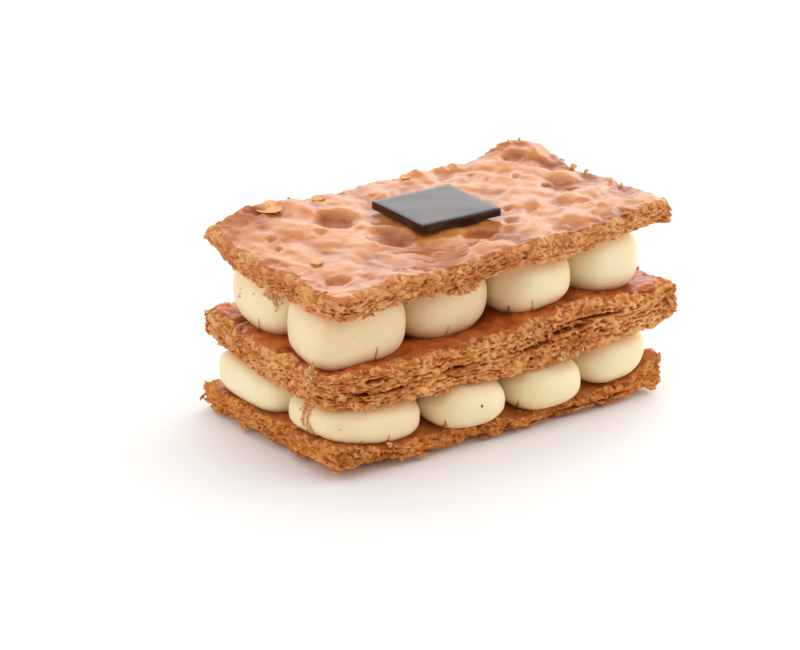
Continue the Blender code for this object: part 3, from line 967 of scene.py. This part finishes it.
def creamSkin(node, turn, rise):
    # points of a piped ball; turn goes round it and rise from its foot to its crown, in radians
    middle, half = middleOf(node)
    power, sidePower = cream["odd"].get(node, cream["powers"])
    lean = cream["lean"].get(node, 0.0)
    if lean:
        power = power + cream["corner"] * np.maximum(np.cos(turn + 0.75 * math.pi), 0) ** 4
    reach = squared(np.cos(rise), sidePower)
    east, north = squared(np.cos(turn), power), squared(np.sin(turn), power)
    x = middle[0] + half[0] * reach * east
    y = middle[1] + half[1] * reach * north
    x = x + lean * reach * np.maximum(-east, 0) * smooth(0.5 + 0.5 * north)
    share = 0.5 - cream["settled"] + cream["pressed"] * squared(np.sin(rise), sidePower)
    lower, upper = cream["between"][node[:11]]
    floor = readAt(plans[lower], "high", x, y) - cream["sink"]
    ceiling = readAt(plans[upper], "low", x, y) + cream["sink"]
    z = floor + (ceiling - floor) * np.clip(share, 0, 1)
    points = np.stack(np.broadcast_arrays(x, y, z), axis=-1)
    away = unit((points - middle) / half ** 2)
    x, y, z = np.moveaxis(points, -1, 0)
    seed = 200 + 3 * creamNodes.index(node)
    uneven = 0.7 * grain(x, y, z, 7.0, seed) + 0.3 * grain(x, y, z, 2.6, seed + 1)
    return points + away * (cream["dent"] * uneven)[..., None], away


def pipeCream(node, finish):
    turn = np.linspace(0, 2 * math.pi, cream["round"], endpoint=False)[:, None]
    rise = np.linspace(-math.pi / 2, math.pi / 2, cream["tall"] + 1)[None, 1:-1]
    points, _ = creamSkin(node, turn, rise)
    rows = cream["tall"] - 1
    index = np.arange(cream["round"] * rows).reshape(cream["round"], rows)
    after = np.roll(index, -1, axis=0)
    faces = np.stack([index[:, :-1], after[:, :-1], after[:, 1:], index[:, 1:]], axis=-1)
    faces = faces.reshape(-1, 4).tolist()
    faces += [index[::-1, 0].tolist(), index[:, -1].tolist()]
    foot = np.clip(1 - (points[..., 2] - points[..., 2].min()) / cream["footStainAndShade"], 0, 1)
    shades = {"foot": foot.ravel(), "paintedPieceShadeAndLight": np.full(foot.size, cream["paintedPieceShadeAndLight"].get(node, 0.0))}
    addPiece(node + "_piped", points.reshape(-1, 3), faces, finish, shades, node)


creamPlain = creamFinish()
creamNodes = sorted(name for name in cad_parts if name.startswith("cream"))
for creamNode in creamNodes:
    pipeCream(creamNode, creamPlain)
print(f"cream: {len(creamNodes)} piped pieces")


bits = {
    # points along a leaf or shard and out over it, and the shape of its rim
    "leaf": {"fineness": (13, 8), "ragged": 0.04, "rounding": 0.4, "taper": 0.1},
    "shard": {"fineness": (4, 4), "ragged": 0.16, "rounding": 0.3, "taper": 0.45},
    # small crumbs on the open margins of a sheet
    "scattered": {"pastry_top": 7, "pastry_middle": 110, "pastry_bottom": 80},
    # the depths of colour of loose bits and of those that stick to the cream
    "tones": (-2.6, 0.2), "stuckTones": (-2.8, -0.6),
    # leaves lying or standing on a sheet: place, height above its high face, width and reach,
    # the way it points, tilt and curl, and its depth of colour
    "leaves": {
        "pastry_top": (
            ((-46.5, -5.5), 0.45, (3.4, 4.2), 20, 6, 0.0, -1.9),
            ((-38.6, 27.2), 0.5, (7.2, 7.2), 50, 4, 0.12, -1.2),
            ((-21.0, 28.6), 0.2, (4.6, 2.6), 80, 6, 0.2, -0.6),
            ((8.0, 28.8), 0.2, (3.6, 2.4), 80, 6, 0.2, -0.6),
            ((52.4, -4.2), 0.3, (1.7, 1.4), 350, 12, 0.2, -2.2),
            ((52.6, -8.8), 0.3, (1.2, 1.5), 10, 10, 0.2, -2.2)),
        "pastry_middle": (
            ((-50.0, -24.5), -5.0, (3.0, 2.0), 235, -55, 0.3, -0.8),
            ((12.0, -30.5), 0.0, (3.0, 1.8), 262, 25, 0.4, -0.4),
            ((-20.0, -31.0), 0.0, (2.6, 1.8), 268, 15, 0.3, -0.6)),
        "pastry_bottom": (
            ((3.0, -29.8), -2.2, (4.6, 2.2), 265, -25, 0.3, -0.9),
            ((-30.0, -30.0), -2.4, (3.4, 1.8), 272, -30, 0.3, -0.6)),
    },
    # heaps of shards on a sheet: from one place to another, how many, how wide and how spread
    "heaps": {
        "pastry_top": (
            ((-40.5, -28.5, 47.8), (-33.5, -29.3, 47.9), 30, 1.2, 0.4),
            ((-18.5, -29.6, 49.2), (-10.0, -29.4, 49.4), 26, 1.2, 0.4),
            ((8.0, -29.3, 49.8), (20.0, -29.6, 50.2), 26, 1.2, 0.4),
            ((-21.0, -30.0, 43.2), (-12.0, -29.6, 43.4), 40, 1.6, 0.4),
            ((-53.6, 4.0, 44.6), (-52.8, -6.0, 44.4), 34, 1.5, 0.5)),
        "pastry_middle": (
            ((-57.6, -20.4, 23.6), (-57.5, -20.2, 28.6), 130, 1.3, 0.5),
            ((-56.0, -22.5, 23.0), (-53.0, -28.5, 21.5), 26, 1.8, 0.6),
            ((-51.0, -29.0, 19.2), (-44.0, -30.0, 17.6), 26, 1.4, 0.4),
            ((2.0, -31.0, 26.6), (12.0, -31.2, 28.4), 30, 1.7, 0.6),
            ((14.0, -31.2, 18.0), (24.0, -31.6, 19.5), 30, 1.7, 0.5)),
        "pastry_bottom": (((-52.0, -30.6, 6.4), (-44.0, -30.8, 5.6), 30, 1.7, 0.6),),
    },
    # shards stuck to a piece of cream: from one place to another, how many and how wide
    "stuck": (
        ("cream_lower_1", (-56.0, -16.5, 17.5), (-56.5, -19.0, 9.4), 130, 1.1),
        ("cream_lower_1", (-56.0, -15.0, 17.0), (-56.0, -17.0, 14.5), 46, 1.0),
        ("cream_upper_5", (-51.5, 9.0, 39.4), (-51.5, 4.5, 37.4), 60, 1.2),
        ("cream_upper_5", (-51.5, 20.2, 35.4), (-51.5, 19.4, 34.0), 9, 0.8),
        ("cream_upper_1", (-32.0, -24.0, 43.0), (-36.0, -24.0, 42.4), 30, 1.1),
        ("cream_upper_7", (14.0, 30.0, 40.0), (9.0, 30.0, 42.0), 26, 1.2),
        ("cream_lower_8", (50.0, 14.0, 14.0), (50.0, 10.0, 17.0), 24, 1.2)),
    # dark vanilla specks on the cream, and their width
    "specks": (
        ("cream_upper_5", (-52.5, 13.7, 37.5), 0.5), ("cream_lower_1", (-52.9, -26.4, 13.2), 0.45),
        ("cream_lower_2", (-12.7, -33.1, 11.6), 0.9), ("cream_upper_2", (-3.0, -22.0, 36.0), 0.35),
        ("cream_lower_6", (-8.0, 31.0, 11.0), 0.5), ("cream_upper_8", (50.0, 20.0, 38.0), 0.45)),
    # cracks that climb from the foot of the cream: foot and height
    "cracks": (
        ("cream_upper_1", (-38.4, -24.0, 27.5), 4.6), ("cream_upper_1", (-54.5, -16.0, 27.0), 2.6),
        ("cream_upper_2", (-14.3, -22.0, 28.0), 4.4), ("cream_upper_2", (-5.4, -22.3, 28.0), 3.2),
        ("cream_upper_3", (4.8, -21.2, 29.0), 2.6), ("cream_upper_3", (10.4, -25.4, 30.0), 4.2),
        ("cream_upper_5", (-52.0, 14.2, 27.0), 4.4), ("cream_lower_1", (-47.3, -29.0, 7.0), 2.0),
        ("cream_lower_1", (-39.9, -29.7, 6.5), 2.2), ("cream_lower_2", (-22.0, -28.7, 6.0), 2.6),
        ("cream_lower_3", (4.2, -27.0, 5.5), 2.0), ("cream_upper_6", (-10.0, 29.0, 28.0), 3.4),
        ("cream_upper_8", (44.0, 29.0, 30.0), 3.0), ("cream_lower_7", (14.0, 31.0, 7.5), 2.6)),
    "crack": {"rows": 9, "wide": 0.75, "raised": 0.1, "sunk": 0.3, "shadeAndTone": 0.1},
}


def skinNear(node, place):
    # the turn and rise at which a ball's skin passes closest to a place
    turns = np.linspace(-math.pi, math.pi, 181)[:, None]
    rises = np.linspace(-1.5, 1.5, 61)[None, :]
    points, _ = creamSkin(node, turns, rises)
    away = np.linalg.norm(points - np.array(place), axis=-1)
    a, b = np.unravel_index(np.argmin(away), away.shape)
    return turns[a, 0], rises[0, b]


def onSkin(node, place):
    # the point of a ball's skin close to a place, and the way out of it
    turn, rise = skinNear(node, place)
    skin, away = creamSkin(node, np.array([[turn]]), np.array([[rise]]))
    return skin[0, 0], away[0, 0]


def pebbles(rng, places, widths):
    # rough round crumbs, all in one list of points and faces
    shape = bmesh.new()
    bmesh.ops.create_icosphere(shape, subdivisions=2, radius=0.5)
    ball = np.array([vert.co[:] for vert in shape.verts])
    sides = np.array([[vert.index for vert in face.verts] for face in shape.faces])
    shape.free()
    count = len(places)
    stretch = rng.uniform(0.6, 1.0, (count, 1, 3))
    uneven = rng.normal(0, 0.16, (count, len(ball), 1))
    points = ball[None] * (1 + uneven) * stretch * np.asarray(widths)[:, None, None] + places[:, None, :]
    faces = sides[None] + (np.arange(count) * len(ball))[:, None, None]
    return points.reshape(-1, 3), faces.reshape(-1, 3)


def shards(rng, places, widths, normals=None):
    # small broken flakes turned every way, or lying close to a skin when its normals are given
    count = len(places)
    outs = rng.normal(0, 1, (count, 3))
    if normals is not None:
        outs -= np.sum(outs * normals, axis=1)[:, None] * normals * 0.85
    outs = unit(outs)
    tangents = unit(np.cross(outs, rng.normal(0, 1, (count, 3)) if normals is None else normals))
    sizes = np.asarray(widths)[:, None] * rng.uniform(0.6, 1.2, (count, 2))
    return leafPoints(rng, places - outs * sizes[:, 1:] / 2, tangents, outs, sizes,
                      rng.normal(0, 0.35, (count, 2)), rng.uniform(0.2, 0.4, count), bits["shard"])


def addScattered(node):
    # small crumbs lying on the open margins of a sheet
    plan = plans[node]
    rng = np.random.default_rng(sheetLooks[node]["seed"] + 1)
    count = bits["scattered"][node]
    spot, _, out = alongCut(plan, rng.uniform(0, 1, count))
    spot = spot - out * (0.3 + 3.0 * rng.uniform(0, 1, (count, 1)) ** 2)
    z = readAt(plan, "high", *spot.T) + readAt(plan, "relief", *spot.T)
    places, widths = [np.column_stack([spot, z + 0.1])], [rng.uniform(0.6, 1.5, count)]
    for start, end, number, wide, spread in bits["heaps"][node]:
        share = rng.uniform(0, 1, (number, 1))
        line = np.array(start) * (1 - share) + np.array(end) * share
        places.append(line + rng.normal(0, spread, (number, 3)))
        widths.append(wide * rng.uniform(0.5, 1.4, number))
    places, widths = np.concatenate(places), np.concatenate(widths)
    points = shards(rng, places, widths)
    tones = rng.uniform(*bits["tones"], len(widths))
    addLeafy(node + "_bits", points, bits["shard"], tones, plan["finish"], node)


def addLeaves(node):
    # the larger leaves, each in its own place
    plan = plans[node]
    rng = np.random.default_rng(sheetLooks[node]["seed"] + 2)
    places, above, sizes, turns, tilts, curls, tones = zip(*bits["leaves"][node])
    places, turns, tilts = np.array(places), np.radians(turns), np.radians(tilts)
    high = heightAt(plan, places, 1.0) + readAt(plan, "relief", *places.T)
    roots = np.column_stack([places, high + np.array(above)])
    outs = np.column_stack([np.cos(turns) * np.cos(tilts), np.sin(turns) * np.cos(tilts), np.sin(tilts)])
    tangents = np.column_stack([-np.sin(turns), np.cos(turns), np.zeros(len(turns))])
    bends = np.column_stack([curls, np.array(curls) * 0.6])
    thick = np.full(len(turns), 0.4)
    points = leafPoints(rng, roots, tangents, outs, np.array(sizes), bends, thick, bits["leaf"])
    addLeafy(node + "_leaves", points, bits["leaf"], tones, plan["finish"], node)


def addStuck():
    # crumbs that came off the sheets and stick to the cream
    rng = np.random.default_rng(61)
    places, widths, normals = [], [], []
    for node, start, end, count, wide in bits["stuck"]:
        for share in rng.uniform(0, 1, count):
            aim = np.array(start) * (1 - share) + np.array(end) * share + rng.normal(0, 0.7, 3)
            skin, away = onSkin(node, aim)
            places.append(skin + away * 0.12)
            normals.append(away)
            widths.append(wide * rng.uniform(0.5, 1.3))
    points = shards(rng, np.array(places), widths, np.array(normals))
    addLeafy("stuck_crumbs", points, bits["shard"], rng.uniform(*bits["stuckTones"], len(places)),
             plans["pastry_middle"]["finish"], "pastry_middle")


def addSpecks():
    rng = np.random.default_rng(62)
    places, widths = [], []
    for node, place, wide in bits["specks"]:
        skin, away = onSkin(node, place)
        places.append(skin - away * wide * 0.2)
        widths.append(wide)
    points, faces = pebbles(rng, np.array(places), widths)
    addPiece("vanilla_specks", points, faces.tolist(), plans["pastry_bottom"]["finish"],
             {"shadeAndTone": np.full(len(points), 6.0)}, "cream_upper_5")


def crackLine(node, foot, tall, drift):
    # points up the skin of a ball from its foot, and the way out of it; drift is how far they stray
    turn, _ = skinNear(node, foot)
    rises = np.linspace(-1.5, 0.6, 80)
    heights = creamSkin(node, np.array([[turn]]), rises[None, :])[0][0, :, 2]
    climb = np.interp(heights[0] + 0.2 + np.linspace(0, tall, len(drift)), heights, rises)[:, None]
    facing = math.radians(camera["turn"])
    level = np.array((math.cos(facing), math.sin(facing), 0.0))
    sway = np.full(climb.shape, turn)
    for _ in range(4):
        # keeps the crack upright while the skin bulges out
        skin = creamSkin(node, sway, climb)[0][:, 0]
        ahead = creamSkin(node, sway + 0.01, climb)[0][:, 0]
        slip = (skin - skin[0]) @ level - drift
        sway = sway - (0.01 * slip / ((ahead - skin) @ level))[:, None]
    skin, away = creamSkin(node, sway, climb)
    return skin[:, 0], away[:, 0]


def addCracks():
    # thin brown cracks, widest at the foot and closing upwards
    rng = np.random.default_rng(63)
    look = bits["crack"]
    rows, points, faces = look["rows"], [], []
    for node, foot, tall in bits["cracks"]:
        drift = np.cumsum(rng.normal(0, 0.05, rows))
        skin, away = crackLine(node, foot, tall, drift)
        across = unit(np.cross(away, (0.0, 0.0, 1.0)))
        wide = look["wide"] * np.linspace(1, 0.15, rows)[:, None] * rng.uniform(0.7, 1.3, (rows, 1))
        first = len(points) * rows * 4
        ring = (skin - across * wide, skin + away * look["raised"],
                skin + across * wide, skin - away * look["sunk"])
        points.append(np.stack(ring, axis=1).reshape(-1, 3))
        for row in range(rows - 1):
            for side in range(4):
                a, b = first + row * 4 + side, first + row * 4 + (side + 1) % 4
                faces.append([a, b, b + 4, a + 4])
        faces.append([first + side for side in (3, 2, 1, 0)])
        faces.append([first + (rows - 1) * 4 + side for side in range(4)])
    points = np.concatenate(points)
    addPiece("cream_cracks", points, faces, plans["pastry_middle"]["finish"],
             {"shadeAndTone": np.full(len(points), look["shadeAndTone"])}, "cream_upper_1")


for sheetNode in sheetLooks:
    addScattered(sheetNode)
    addLeaves(sheetNode)
addStuck()
addSpecks()
addCracks()
print("loose bits added")


tile = {
    "colours": ((36, 16, 13), (44, 21, 17)),    # display colours
    "cuts": 14,              # rows over the tile, for its slight waves
    "edge": 0.28,            # mm, the rounding of its edges
    "wave": 0.16,            # mm
}


def chocolateFinish():
    finish = Finish("dark_chocolate")
    haze = finish.noise(7.0, 2.0)
    finish.set({
        "Base Color": finish.ramp(haze, list(zip((0.3, 0.7), map(colour, tile["colours"])))),
        "Roughness": 0.16 + (haze - 0.5) * 0.06,
        "Normal": finish.bump(haze, 0.03),
    })
    return finish.material


def cutChocolate():
    # measures the solid along its own sides, then cuts the tile to that size
    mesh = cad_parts["chocolate_square"].data
    top = max(mesh.polygons, key=lambda face: face.area * (face.normal.z > 0.5))
    up = top.normal.copy()
    corners = [mesh.vertices[v].co for v in top.vertices]
    sides = [second - first for first, second in zip(corners, corners[1:] + corners[:1])]
    along = min(sides, key=lambda side: (round(side.length, 5), -abs(side.x))).normalized()
    across = up.cross(along)
    everyPoint = [Vector((v.co.dot(along), v.co.dot(across), v.co.dot(up))) for v in mesh.vertices]
    low = Vector(map(min, zip(*everyPoint)))
    high = Vector(map(max, zip(*everyPoint)))
    size, middle = high - low, (high + low) / 2
    shape = bmesh.new()
    bmesh.ops.create_cube(shape, size=1.0)
    bmesh.ops.scale(shape, verts=shape.verts, vec=size)
    sharp = list(shape.edges)
    bmesh.ops.bevel(shape, geom=sharp, offset=tile["edge"] * mm, segments=3, profile=0.5, affect="EDGES")
    long = [edge for edge in shape.edges if edge.calc_length() > 5 * mm]
    bmesh.ops.subdivide_edges(shape, edges=long, cuts=tile["cuts"], use_grid_fill=True)
    for vert in shape.verts:
        x, y = vert.co.x / mm, vert.co.y / mm
        bend = tile["wave"] * float(grain(x, y, 0.0, 9.0, 77))
        push = tile["wave"] * 0.8 * float(grain(x, y, 5.0, 6.0, 78))
        edgeShare = max(abs(vert.co.x) / size.x, abs(vert.co.y) / size.y) * 2
        vert.co.z += bend * mm * 0.6
        # only the sides waver in and out
        if edgeShare > 0.97:
            vert.co.x += push * mm * (abs(vert.co.x) / size.x > 0.48)
            vert.co.y += push * mm * (abs(vert.co.y) / size.y > 0.48)
        local = vert.co + middle
        vert.co = along * local.x + across * local.y + up * local.z
    made = bpy.data.meshes.new("chocolate_square_tile")
    shape.to_mesh(made)
    shape.free()
    made.shade_smooth()
    made.materials.append(chocolateFinish())
    keepPiece("chocolate_square_tile", made, "chocolate_square")


cutChocolate()
print("chocolate cut")


studio = {
    "floor": 12.0,           # m across
    "sky": (0.36, 0.74),     # brightness before the slice and behind it
    "behind": (0.59, 0.81, 0.0),
    # place, size and power of each soft box, which looks at the slice
    "boxes": {
        "left_box": ((-1.0, 0.05, 0.60), (1.1, 1.0), 4.5),
        "back_box": ((0.62, 0.98, 0.62), (2.0, 0.95), 6.6),
        "right_box": ((1.10, -0.30, 0.66), (2.8, 1.3), 17.5),
        "top_box": ((0.05, 0.20, 1.30), (1.2, 1.2), 3.6),
    },
}


def addFloor():
    shape = bmesh.new()
    bmesh.ops.create_grid(shape, x_segments=1, y_segments=1, size=studio["floor"] / 2)
    mesh = bpy.data.meshes.new("floor")
    shape.to_mesh(mesh)
    shape.free()
    finish = Finish("floor")
    tint = finish.noise(400.0, 1.0)
    finish.set({
        "Base Color": finish.ramp(tint, [(0.0, (0.93, 0.93, 0.93)), (1.0, (0.95, 0.95, 0.95))]),
        "Roughness": 0.6,
    })
    mesh.materials.append(finish.material)
    floor = bpy.data.objects.new("floor", mesh)
    floor.location.z = -0.1 * mm
    bpy.context.scene.collection.objects.link(floor)


def addLights():
    for name, (place, size, power) in studio["boxes"].items():
        lamp = bpy.data.lights.new(name, "AREA")
        lamp.shape = "RECTANGLE"
        lamp.size, lamp.size_y = size
        lamp.energy = power
        held = bpy.data.objects.new(name, lamp)
        held.location = place
        aim = Vector((0.0, 0.0, 0.03)) - Vector(place)
        held.rotation_euler = aim.to_track_quat("-Z", "Y").to_euler()
        bpy.context.scene.collection.objects.link(held)
    world = bpy.data.worlds.new("sky")
    world.use_nodes = True
    sky = Nodes(world.node_tree)
    way = sky.node("ShaderNodeTexCoord", output="Generated")
    backward = sky.node("ShaderNodeVectorMath", {"operation": "DOT_PRODUCT"},
                        {0: way, 1: studio["behind"]}, output="Value")
    before, behind = studio["sky"]
    shine = backward * ((behind - before) / 2) + (behind + before) / 2
    background = world.node_tree.nodes["Background"]
    background.inputs["Color"].default_value = (1.0, 1.0, 1.0, 1.0)
    sky.plug(background.inputs["Strength"], shine)
    bpy.context.scene.world = world
    bpy.context.scene.view_settings.view_transform = "Standard"
    bpy.context.scene.view_settings.look = "None"


addFloor()
addLights()

print("scene ready")
